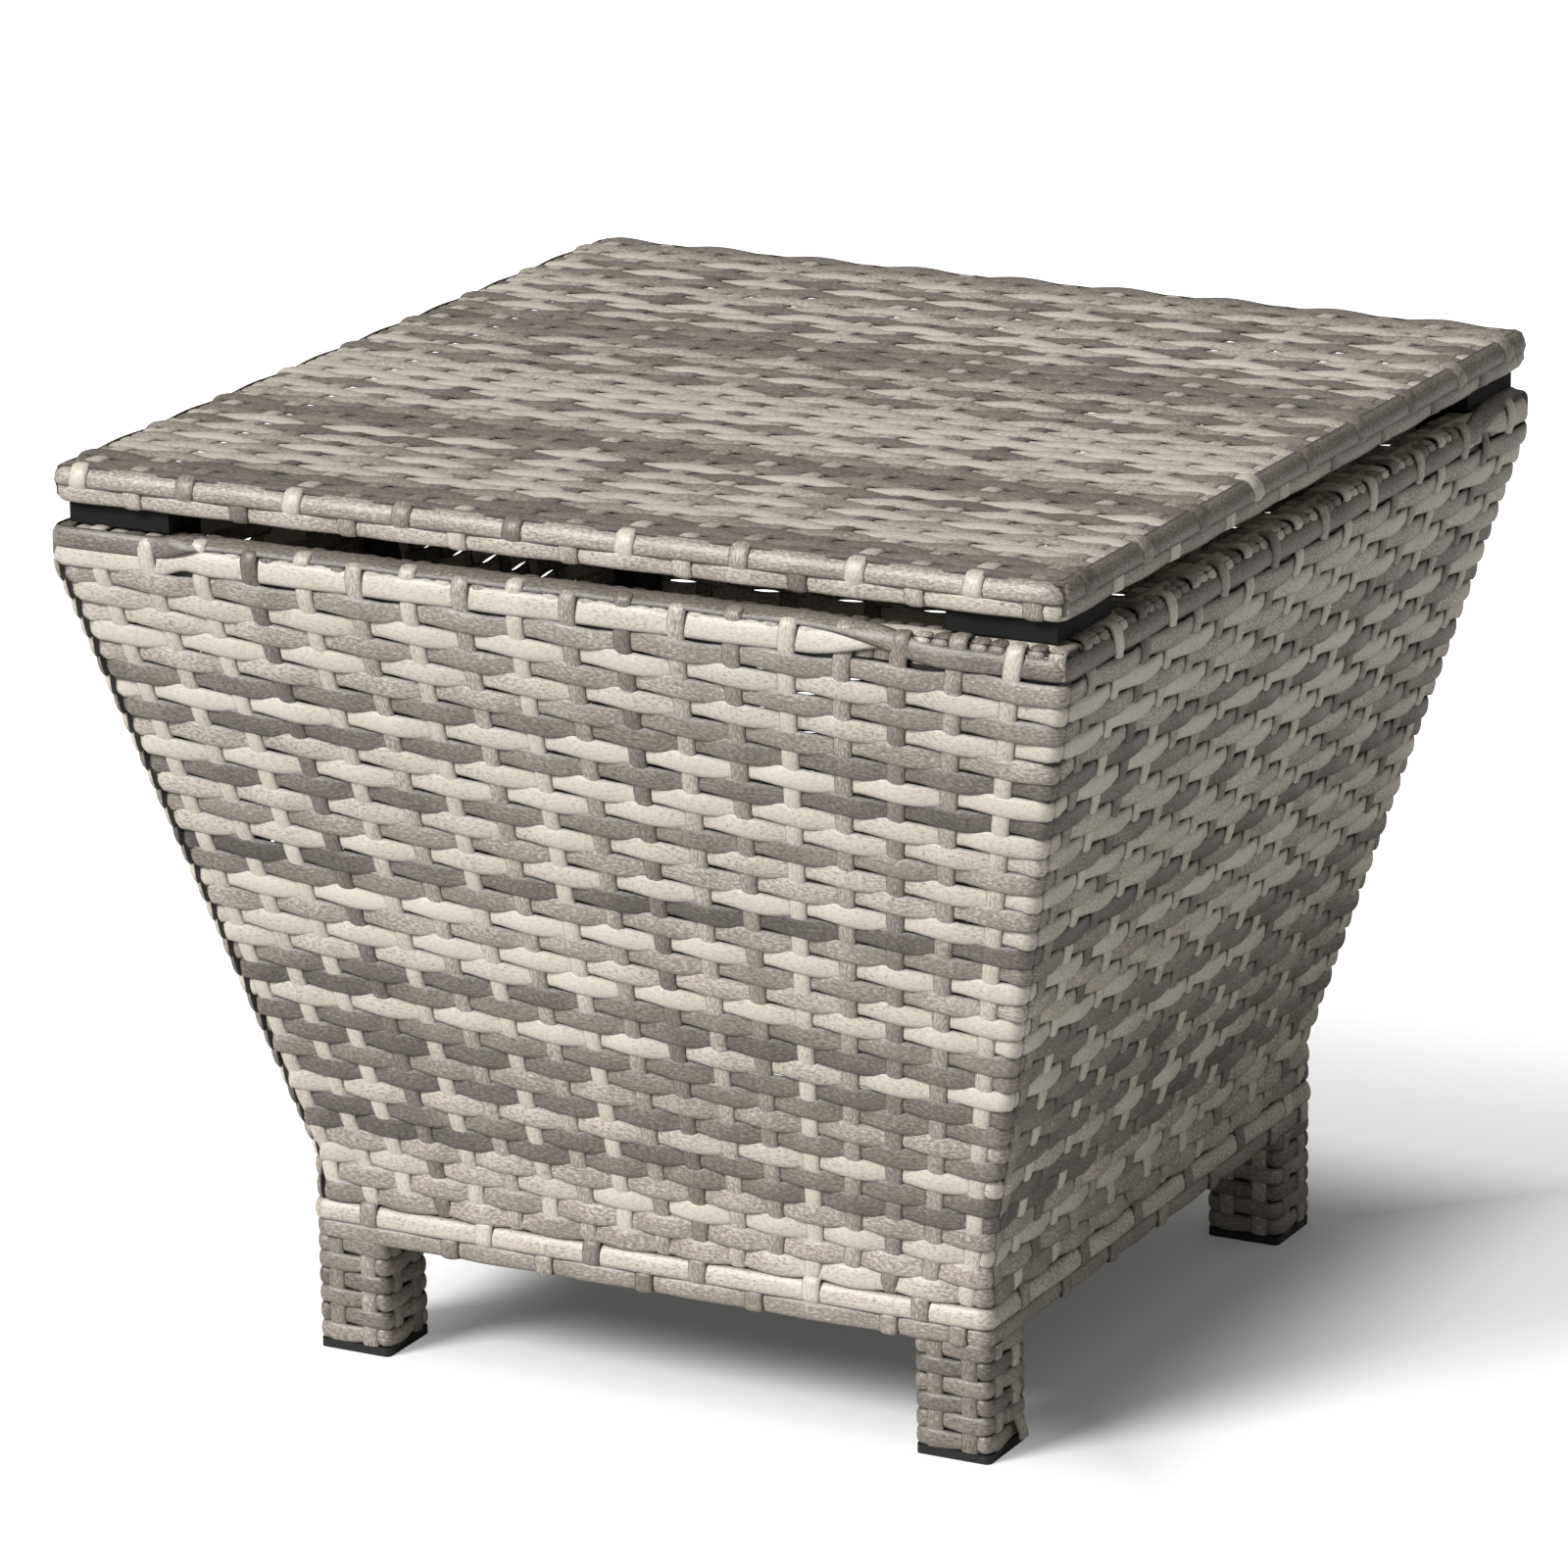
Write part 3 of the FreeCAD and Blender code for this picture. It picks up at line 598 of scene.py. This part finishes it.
def wallStakes(side):
    # from behind the trim up the wall, over or under the rim's two courses and down inside
    off = wall["middle"]
    low, high = wall["frameHalfLow"] + off, wall["frameHalfHigh"] + off
    outer, inner, above = rim["railOut"] + off, rim["railIn"] - off, rim["railTop"] + off
    points = [(wall["frameHalfLow"] + 0.9, 88.4), (low, 95.0), (low, wall["knee"]),
              (high, wall["top"]), (outer, above), (inner, above), (inner, rim["innerEnd"])]
    path, at = evenly(bentPath(points, [12, 14, 10, rim["roll"], rim["roll"]], 1.6), 2.75)
    k = np.arange(wall["stakes"])[:, None]
    z = path[:, 1]
    onWall = (np.arange(len(path)) < np.argmax(z > rim["courseZ"] - 0.5 * wall["rowPitch"]))
    phase = (z - wall["firstRow"]) / wall["rowPitch"]
    wallLevel = -wall["stakeWave"] * np.cos(np.pi * (k + phase))
    # past the wall the marks are the outer course, the roll, the top course and the inside; a
    # large number keeps the wrong face of the rail out of each search
    joint, never = at[onWall][-1], 99
    courseAt = at[np.argmin(np.abs(z - rim["courseZ"]) + (path[:, 0] < 290) * never)]
    topAt = at[np.argmin(np.abs(path[:, 0] - (rim["railOut"] - rim["topCourseIn"]))
                         + (z < wall["fanTo"]) * never)]
    marks = np.array([joint, courseAt - 3, courseAt + 4, (courseAt + topAt) / 2, topAt, topAt + 11,
                      at[-1] + 1])
    under, over = rim["under"] - wall["middle"], rim["over"] - wall["middle"]
    goesUnder = (k + wall["rows"]) % 2 == 0
    course = np.where(goesUnder, under, over)
    top = np.where(goesUnder, over - rim["topLower"], under)
    values = np.concatenate([wallLevel[:, [int(onWall.sum()) - 1]], course, course,
                             0 * course + rim["rollLevel"], top, 0 * top + under,
                             0 * top + under], 1)
    level = np.where(onWall, wallLevel, stepped(at, marks, values))
    rising = np.arange(len(path)) < np.argmax(z > wall["fanTo"])
    fan = stakePitch(np.where(rising, z, wall["fanTo"]))
    return [crossStrands(side, stakeNumbers, path, level, wall["stakeStrand"], wall["thick"]
                         * wall["stakeThinner"], tones(wall["stakeTones"][side]), fan)]


pieceBySide("woven_stakes_", wallStakes, "woven_panel_")
print("body stakes made")


def ringLine(half, height, radius, crossX, wave, parity, tilt):
    # centre line of one strand round all four sides, its face turned up by the tilt; crossX and
    # parity are given per side. Also returns which side each station is on
    centre, normal, level, sideOf = ringPaths(
        np.array([half]), radius, [np.array([places], float) for places in crossX],
        np.array([height]), wave, [np.array([[odd]], float) for odd in parity], 0.0)
    normal = normal * math.cos(tilt) + upward * math.sin(tilt)
    return centre + normal * level[:, :, None], normal, sideOf


def bySide(values, sideOf):
    # one value per side, repeated along that side
    return np.asarray(values, float)[sideOf][None]


def edgeCourse(course, n, crossX, wave, thick):
    # one wound course, from its own values, as a strand round all four sides
    centre, normal, sideOf = ringLine(n, course["z"], course["radius"], crossX, wave,
                                      course["parity"], course["tilt"])
    return sweep(centre, normal, course["width"], thick, True, bySide(course["tones"], sideOf),
                 1.0, course["bow"])


# Rim: two courses that change places, one dark and one light, and short strands between
rimPitch = stakePitch(wall["fanTo"])
rimX = rimPitch * stakeNumbers
onFace = ringLine(rim["railOut"] + rim["courseOff"], rim["courseZ"], rim["courseRadius"],
                  [rimX] * 4, rim["wave"], [wall["rows"] % 2] * 4, rim["courseTilt"])
onTop = ringLine(rim["railOut"] - rim["topCourseIn"], rim["topCourseZ"], rim["topRadius"],
                 [rimX] * 4, rim["topWave"], [(wall["rows"] + 1) % 2] * 4, rim["topCourseTilt"])
rimSide = onFace[2]
rimStations = len(rimSide)
rimAlong = np.einsum("ij,ij->i", onFace[0][0], sideAlong[rimSide])


def outsideShare(changes):
    # 1 where a course is on the outer face and 0 on the top, easing from one to the other
    share = np.full(rimStations, float(changes[-1][4]))
    for side, start, end, before, after in changes:
        value = before + (after - before) * ease((rimAlong - start) / (end - start))
        share = np.where(rimSide == side, np.where(rimAlong >= start, value, share), share)
        share = np.where(rimSide > side, float(after), share)
    return share[None]


def rimCourse(share, lift, bulge, off, width, tone):
    # face line * share + top line * (1 - share), bulged round the rail's edge by
    # bulge * sin(pi * share) so that the strand doesn't cut through it
    share = share[:, :, None]
    centre = onFace[0] * share + onTop[0] * (1 - share)
    centre = centre + (onFace[1] + upward) / math.sqrt(2) * bulge * np.sin(np.pi * share)
    normal = unit(onFace[1] * share + onTop[1] * (1 - share))
    centre = centre + upward * lift[:, :, None] + normal * np.asarray(off)[..., None]
    return sweep(centre, normal, width, rim["thick"], True, tone, 1.0, rim["courseBow"])


darkShare = outsideShare(rim["darkOutside"])
(frontFrom, frontLength), (leftFrom, leftLength) = rim["bothFront"], rim["bothLeft"]
bothOutside = ((rimSide == 0) * (1 - ease((rimAlong - frontFrom) / frontLength))
               + (rimSide == 3) * ease((rimAlong - leftFrom) / leftLength))[None]
lightShare = 1 - darkShare * (1 - bothOutside)
dark, light = rim["dark"], rim["light"]
darkCourse = rimCourse(darkShare, bothOutside * darkShare * dark["lift"], dark["bulge"],
                       dark["off"], dark["width"], bySide(dark["tones"], rimSide))
# where the light course leaves the outer face it runs on under the wraps
lightCourse = rimCourse(lightShare, bothOutside * light["lift"], light["bulge"],
                        lightShare * light["sink"] - light["sink"], light["width"],
                        bySide(light["tones"], rimSide))
piece("rim_courses", "body", [lightCourse, darkCourse], allSides("rim_wrap_"))


def woundShort(side, x, points, radius, width, thick):
    # short strands round one tube
    path, at = evenly(bentPath(points, [radius] * 2, 1.2), 2.6)
    return [crossStrands(side, x, path, 0.0, width, thick, anyTones(len(x)))]


def rimShort(side):
    # over the rim's rail between the stakes, and on two sides past the last one as well
    x = (rimX[:-1, None] + rimPitch * np.array(rim["fillPlaces"])).ravel()
    if side % 2 == 0:
        ends = rimX[-1] + rimPitch * np.array(rim["fillPastEnd"])
        x = np.concatenate([-ends[::-1], x, ends])
    outer, inner = rim["railOut"] + rim["fillOff"], rim["railIn"] - rim["fillOff"]
    high = rim["railTop"] + rim["fillOff"]
    points = [(outer, rim["fillLow"]), (outer, high), (inner, high), (inner, rim["innerEnd"])]
    return woundShort(side, x, points, rim["roll"], rim["fillWidth"], rim["thick"])


pieceBySide("rim_strands_", rimShort, "rim_wrap_")
print("rim made")


base = {
    "railOut": 204.5, "railIn": 184.5, "railLow": 68.0, "railTop": 88.0, "thick": 1.6, "wave": 0.65,
    # tones and first crossings are given for the front, right, back and left
    "upper": {"off": 3.6, "z": 82.1, "width": 12.2, "tilt": 0.2, "bow": 0.9, "radius": 7.5,
              "tones": [0.7, 0.63, 0.57, 0.65], "parity": [1, 1, 1, 1]},
    "lower": {"off": 2.7, "z": 70.5, "width": 11.2, "tilt": -0.05, "bow": 0.5, "radius": 7.0,
              "tones": [0.47, 0.38, 0.5, 0.42], "parity": [0, 0, 0, 0]},
    # places of the wraps over each course, and such a wrap's levels from below upward
    "overUpper": [-172, -99, -32, 33, 102, 167], "upperLevels": [0.0, -1.7, -1.7, 0.85, 0.85, -0.6],
    "overLower": [-121, -62, 0, 67, 148, 189], "lowerLevels": [0.0, 0.85, 0.85, -1.7, -2.6, -2.6],
    "sideShift": [0, 6, -5, 3], "wrapWidth": 11.2, "wrapShares": (0.35, 0.4, 0.25),
    "fillPitch": 12.7, "fillWidth": 10.6, "fillOff": 0.9, "fillThinner": 0.9,
    "fillShares": (0.45, 0.3, 0.25), "legEnd": 164.0,
}

# Trim of the base: two courses outside the legs, wraps over one or the other, and a wound rail
baseX = [np.array(sorted(base["overUpper"] + base["overLower"])) + shift
         for shift in base["sideShift"]]
piece("trim_courses", "body", [
    edgeCourse(course, base["railOut"] + course["off"], baseX, base["wave"], base["thick"])
    for course in (base["upper"], base["lower"])], allSides("base_wrap_"))


def trimWraps(side):
    # over the upper course and under the lower one, or the other way round
    n = base["railOut"] + base["upper"]["off"]
    # from below upward, so that the path's normals point out
    points = [(base["railOut"] - 1.0, 65.4), (n - 0.4, 65.9), (n - 0.3, 75.4), (n + 0.3, 80.0),
              (n - 0.9, 87.6), (base["railOut"] + 0.4, 90.4)]
    path, at = evenly(bentPath(points, [1.2, 5, 6, 2.5], 0.8), 1.3)
    marks = placesOnPath(path, at, [(n - 0.4, 67.0), (n - 0.4, 74.6), (n - 0.1, 77.4),
                                    (n - 0.6, 86.6)])
    marks = np.concatenate([[-1.0], marks, [at[-1] + 1]])
    strands = []
    # a wrap that goes under the upper course hides its end behind that course's top edge
    for places, levels in ((base["overUpper"], base["upperLevels"]),
                           (base["overLower"], base["lowerLevels"])):
        strands.append(crossStrands(side, np.array(places) + base["sideShift"][side], path,
                                    stepped(at, marks, np.array(levels)), base["wrapWidth"],
                                    base["thick"], anyTones(len(places), base["wrapShares"])))
    return strands


def railLoops(side):
    # whole turns round the base rail between the legs, from below its middle
    off = base["fillOff"]
    x = spaced(int(2 * base["legEnd"] / base["fillPitch"]), base["fillPitch"])
    inner, outer = base["railIn"] - off, base["railOut"] + off
    low, high = base["railLow"] - off, base["railTop"] + off
    below = (base["railOut"] - 10, low)
    points = [below, (inner, low), (inner, high), (outer, high), (outer, low), below]
    path, at = evenly(bentPath(points, [2.4, 2.4, 5.5, 2.4], 1.2), 3.0)
    return crossStrands(side, x, path[::-1], 0.0, base["fillWidth"],
                        base["thick"] * base["fillThinner"], anyTones(len(x), base["fillShares"]))


pieceBySide("base_strands_", lambda side: trimWraps(side) + [railLoops(side)], "base_wrap_")
print("base made")


legs = {
    "middle": 184.5, "tubeHalf": 20.0, "off": 2.0, "radius": 4.5, "rows": 6, "firstRow": 10.4,
    "rowPitch": 10.3, "rowWave": 1.0, "stakeWave": 0.6, "stakeFromMiddle": 10.2, "thick": 1.6,
    "strand": 10.3, "low": 5.4, "high": 67.0, "overWider": 0.06, "drift": 0.2, "sag": 0.4,
    "overBow": 0.4, "cornerLevel": 0.15,
    "rowTones": ["MDMDMM", "DMDMDM", "MMDMDD", "DMMDMM"],
    "darker": 0.76,           # the rows' tones are this share of the walls'
    "stakeShares": (0.5, 0.45, 0.05),
    "flared": {(1, 1): 1, (0, 3): 0},     # (corner, side): which of its two stakes splays out
    "flare": 5.0, "flareFrom": 28, "flareHeight": 22, "flarePower": 1.6,
}


def legPieces(corner):
    # a sleeve of six rows and eight stakes round one leg tube
    z = legs["firstRow"] + legs["rowPitch"] * np.arange(legs["rows"])
    half = np.full(len(z), legs["tubeHalf"] + legs["off"])
    stakesX = np.array([-1, 1]) * legs["stakeFromMiddle"]
    cross = np.tile(stakesX, (len(z), 1))
    odd = (np.arange(len(z)) % 2).astype(float)[:, None]
    gapSteps, endSteps, arcSteps = 8, 3, 5
    centre, normal, level, sideOf = ringPaths(
        half, legs["radius"], [cross] * 4, z, legs["rowWave"], [odd] * 4, legs["cornerLevel"],
        gapSteps, endSteps, arcSteps)
    wide = 1 + legs["overWider"] * level / legs["rowWave"]
    lift = (wander(len(z), centre.shape[1], legs["drift"], 4)
            + sagOf(level, legs["rowWave"], legs["sag"], gapSteps))
    centre = centre + normal * level[:, :, None] + upward * lift[:, :, None]
    parts = [sweep(centre, normal, legs["strand"], legs["thick"], True,
                   tones(legs["rowTones"][corner])[:, None] * legs["darker"], wide,
                   legs["overBow"])]
    height = np.arange(legs["low"], legs["high"], 2.6)
    phase = (height - legs["firstRow"]) / legs["rowPitch"]
    for side in range(4):
        stakes = np.array([0, 1])[:, None]
        stakeLevel = -legs["stakeWave"] * np.cos(np.pi * (stakes + phase))
        if (corner, side) in legs["flared"]:
            # flare * (share of the way down) ** flarePower
            down = np.clip((legs["flareFrom"] - height) / legs["flareHeight"], 0, 1)
            stakeLevel[legs["flared"][corner, side]] += legs["flare"] * down ** legs["flarePower"]
        path = np.stack([np.full(len(height), half[0]), height], 1)
        parts.append(crossStrands(side, stakesX, path, stakeLevel, legs["strand"], legs["thick"],
                                  anyTones(2, legs["stakeShares"])))
    away = (sideOut[corner] - sideAlong[corner]) * legs["middle"]
    for part in parts:
        part["points"] = part["points"] + away
    return parts


for corner, cornerName in enumerate(cornerNames):
    piece("leg_strands_" + cornerName, "body", legPieces(corner), ["leg_weave_" + cornerName])
print("legs made")


lid = {
    "tubeOut": 295.0, "tubeIn": 279.0, "tubeLow": 498.0, "top": 516.97,
    "fieldZ": 515.05, "stakes": 18, "stakePitch": 33.0, "stakeNarrower": 0.95,
    "rows": 52, "firstRow": -279.4, "rowPitch": 11.2, "rowWave": 1.1, "stakeWave": 0.45,
    "strand": 12.4, "thick": 1.55, "overWider": 0.06, "sag": 0.6, "fieldHalf": 285,
    "lean": 0.05,             # the rows' front edges lie a little lower than their back edges
    "borderRow": -289.9, "borderWidth": 11.0, "borderFlatter": 0.6, "borderTone": 0.3,
    # tones and first crossings are given for the front, right, back and left
    "upper": {"n": 297.3, "z": 511.0, "width": 12.6, "tilt": 0.5, "bow": 1.5, "radius": 8.5,
              "tones": [0.53, 0.37, 0.38, 0.53], "parity": [1, 1, 0, 1]},
    "lower": {"n": 297.2, "z": 500.3, "width": 10.4, "tilt": -0.06, "bow": 0.7, "radius": 8.5,
              "tones": [0.61, 0.44, 0.5, 0.56], "parity": [0, 0, 1, 0]},
    # levels of a strand over a side course, and of one that stays under both
    "wrap": 0.8, "tucked": -1.5, "courseWave": 0.7,
    "fillCount": 45, "fillPitch": 12.6, "fillWidth": 11.4, "fillThick": 1.4, "fillOff": 0.85,
    "stakeTones": "LLMDLMMLDMLLMDLMLM",
    "rowShares": (0.36, 0.26, 0.38),
}
lidRowY = np.concatenate([[lid["borderRow"]],
                          lid["firstRow"] + lid["rowPitch"] * np.arange(lid["rows"])])
lidStakeX = spaced(lid["stakes"], lid["stakePitch"])


def lidSectionPath():
    # once round the lid's section: under the near tube, up both courses' middles, over the top
    # and down the far side
    points = [(lid["tubeIn"] - 1.2, 508.0), (lid["tubeIn"] - 1.2, 496.8), (297.2, 496.2),
              (297.2, 502.4), (298.9, 505.0), (297.7, 510.8), (294.6, 515.05),
              (0.0, lid["fieldZ"])]
    near = bentPath(points, [2.0, 1.4, 2.5, 3.0, 8.0, 4.0], 1.0)
    return np.concatenate([near[:-1], near[::-1] * [-1, 1]])


def lidLevels(path, at, crossed, size, upper, lower, k):
    # level of each strand: a plateau over or under each course, a plain weave on the field. A
    # strand that goes under keeps to the top of the tube until it's past the tube's edge
    nearEdge = [(297.2, 497.6), (297.2, 502.8), (298.6, 506.2), (297.0, 512.0), (292.6, 515.05)]
    farEdge = [(-n, z) for n, z in nearEdge[::-1]]
    items = nearEdge + [(-place, lid["fieldZ"]) for place in crossed] + farEdge
    marks = np.concatenate([[-1], placesOnPath(path, at, items), [at[-1] + 1]])
    field = size * np.cos(np.pi * (k + np.arange(len(crossed))))
    rest, bend = 0 * k - 0.2, np.where(upper > 0, 1.0, -0.2)
    values = np.concatenate([rest, lower, lower, upper, upper, bend, field, bend, upper, upper,
                             lower, lower, rest], 1)
    return stepped(at, marks, values)


def lidStakes():
    # from the lower front course over the top to the lower back course
    path, at = evenly(lidSectionPath(), 2.6)
    k = np.arange(lid["stakes"])[:, None]
    over = np.where(k % 2 == 0, 1.0, -1.0) * lid["wrap"]
    level = lidLevels(path, at, lidRowY, -lid["stakeWave"], over, -over, k)
    return crossStrands(0, lidStakeX, path, level, lid["strand"] * lid["stakeNarrower"],
                        lid["thick"], tones(lid["stakeTones"]), top=lid["top"])


def lidRows():
    # from side to side; every third row goes on over one side course or the other
    path, at = evenly(lidSectionPath(), 4.4)
    j = np.arange(len(lidRowY))[:, None]
    upper, lower = (np.where(j % 6 == over, lid["wrap"], np.where(
        j % 6 == under, -lid["wrap"], lid["tucked"])) for over, under in ((2, 5), (5, 2)))
    level = lidLevels(path, at, lidStakeX, lid["rowWave"], upper, lower, j)
    onField = np.abs(path[:, 0]) < lid["fieldHalf"]
    wide = 1 + lid["overWider"] * np.where(onField, level / lid["rowWave"], 0)
    gapSteps = 7.5
    sway = np.where(onField, sagOf(level, lid["rowWave"], lid["sag"], gapSteps), 0)
    tone = tones("M" + "".join(chance.choice(list("DML"), lid["rows"], p=lid["rowShares"])))
    field = crossStrands(3, -lidRowY[1:], path, level[1:], lid["strand"], lid["thick"], tone[1:],
                         wide=wide[1:], top=lid["top"], sway=sway[1:], lean=lid["lean"])
    border = crossStrands(3, -lidRowY[:1], path, level[:1] * lid["borderFlatter"],
                          lid["borderWidth"], lid["thick"], [lid["borderTone"]], top=lid["top"])
    return [field, border]


piece("lid_stakes", "lid", [lidStakes()], ["lid_woven_field"])
piece("lid_rows", "lid", lidRows(), ["lid_woven_field"])
print("lid field made")

wrapsX = [lidStakeX, lidRowY[2::3], -lidStakeX[::-1], -lidRowY[2::3][::-1]]
piece("lid_courses", "lid", [
    edgeCourse(course, course["n"], wrapsX, lid["courseWave"], lid["thick"])
    for course in (lid["upper"], lid["lower"])], allSides("lid_edge_wrap_"))


def lidShort(side):
    # strands wound under the lid's tube between the stakes
    x = spaced(lid["fillCount"], lid["fillPitch"])
    if side % 2:
        x = x[np.abs(x) < lid["tubeIn"] - 5]
    inner, outer = lid["tubeIn"] - lid["fillOff"], lid["tubeOut"] + lid["fillOff"]
    low = lid["tubeLow"] - lid["fillOff"]
    points = [(inner, 508.0), (inner, low), (outer, low), (outer, 505.0)]
    return woundShort(side, x, points, 2.2, lid["fillWidth"], lid["fillThick"])


pieceBySide("lid_strands_", lidShort, "lid_edge_wrap_", "lid")
print("lid edges made")


stageLook = {
    "floor": (226, 226, 226), "floorSize": 24.0, "skyLight": 0.19,
    # light that the floor adds for the camera: everywhere, past a patch round the table, and
    # farther out. A pair says where it starts and where it's full, in metres
    "underFloor": 0.06, "seenFloor": 0.54, "clearFrom": (0.16, 0.32),
    "farFloor": 0.4, "farFrom": (0.3, 0.65),
    "behind": 0.05,           # the patch's middle is this far right and back of the table's
    "keyLight": 3.3, "keyHeight": 38, "keyLeft": 30, "keySpread": 24, "keyAway": 4,
}


def floorMaterial():
    # pale and plain, and brighter for the camera alone than the lamp makes it
    made, start = newMaterial("studio floor")
    place = start.node("ShaderNodeTexCoord", None, None, output=3)
    slow = place.noise(3.0, 4.0)
    pale = linear(*stageLook["floor"])
    ramp = start.node("ShaderNodeValToRGB", {"stops": [
        (0.35, tuple(c * 0.985 for c in pale)), (0.65, pale)]}, {"Fac": slow})
    # away = max(|x|, |y|) from a point a little behind the table's middle, where its shadow
    # falls: under the table the floor keeps its full shade
    moved = start.node("ShaderNodeVectorMath", {"operation": "SUBTRACT"},
                       {0: place, 1: (stageLook["behind"], stageLook["behind"], 0)})
    spread = start.node("ShaderNodeVectorMath", {"operation": "ABSOLUTE"}, {0: moved})
    apart = start.node("ShaderNodeSeparateXYZ", None, {"Vector": spread})
    away = start.math("MAXIMUM", apart, Wire(start.tree, apart.socket.node.outputs[1]))

    def past(near, full):
        return start.node("ShaderNodeMapRange", {"interpolation_type": "SMOOTHSTEP"},
                          {"Value": away, "From Min": near, "From Max": full})

    glow = start.node("ShaderNodeLightPath") * (
        past(*stageLook["clearFrom"]) * stageLook["seenFloor"]
        + past(*stageLook["farFrom"]) * stageLook["farFloor"] + stageLook["underFloor"])
    finishMaterial(start, ramp, slow * 0.1 + 0.75, slow, 0.02, 0.001, {
        "Specular IOR Level": 0.1, "Emission Color": glow, "Emission Strength": 1.0})
    return made


reach = stageLook["floorSize"] / 2
floorMesh = bpy.data.meshes.new("floor")
floorMesh.from_pydata([(-reach, -reach, 0), (reach, -reach, 0), (reach, reach, 0),
                       (-reach, reach, 0)], [], [(0, 1, 2, 3)])
floorMesh.materials.append(floorMaterial())
floor = placed("floor", floorMesh)

world = bpy.data.worlds.new("studio")
bpy.context.scene.world = world
world.use_nodes = True
world.node_tree.nodes.clear()
sky = Wire(world.node_tree)
seen = sky.math("MAXIMUM", sky.node("ShaderNodeLightPath"),
                sky.node("ShaderNodeLightPath", None, None, output=6))
strength = seen * (1 - stageLook["skyLight"]) + stageLook["skyLight"]
backdrop = sky.node("ShaderNodeBackground", None, {"Color": (1, 1, 1, 1), "Strength": strength})
sky.node("ShaderNodeOutputWorld", None, {"Surface": backdrop})


def columns(right, up, back, place):
    # a matrix whose columns are three axes and a place
    return Matrix([[*row] for row in np.stack([right, up, back, place], 1)] + [[0, 0, 0, 1]])


# One broad far lamp from the front left; aim points from the table to the lamp
height, left = math.radians(stageLook["keyHeight"]), math.radians(stageLook["keyLeft"])
aim = np.array([-math.sin(left) * math.cos(height), -math.cos(left) * math.cos(height),
                math.sin(height)])
level = unit(np.cross(upward, aim))
key = bpy.data.lights.new("key lamp", "SUN")
key.energy, key.angle = stageLook["keyLight"], math.radians(stageLook["keySpread"])
placed("key lamp", key).matrix_world = columns(level, np.cross(aim, level), aim,
                                               aim * stageLook["keyAway"])

view = {"lens": 173.6, "sensor": 36.0, "place": (1.874, -3.537, 1.502), "yaw": -28.17,
        "pitch": 16.79, "roll": -1.03}
yaw, pitch, roll = (math.radians(view[name]) for name in ("yaw", "pitch", "roll"))
ahead = np.array([math.sin(yaw) * math.cos(pitch), math.cos(yaw) * math.cos(pitch),
                  -math.sin(pitch)])
right = np.array([math.cos(yaw), -math.sin(yaw), 0.0])
over = np.cross(right, ahead)
turnedRight = right * math.cos(roll) + over * math.sin(roll)
turnedUp = over * math.cos(roll) - right * math.sin(roll)
lens = bpy.data.cameras.new("camera")
lens.lens, lens.sensor_width = view["lens"], view["sensor"]
camera = placed("camera", lens)
camera.matrix_world = columns(turnedRight, turnedUp, -ahead, view["place"])
bpy.context.scene.camera = camera
bpy.context.scene.view_settings.view_transform = "Standard"
print("stage and camera set")
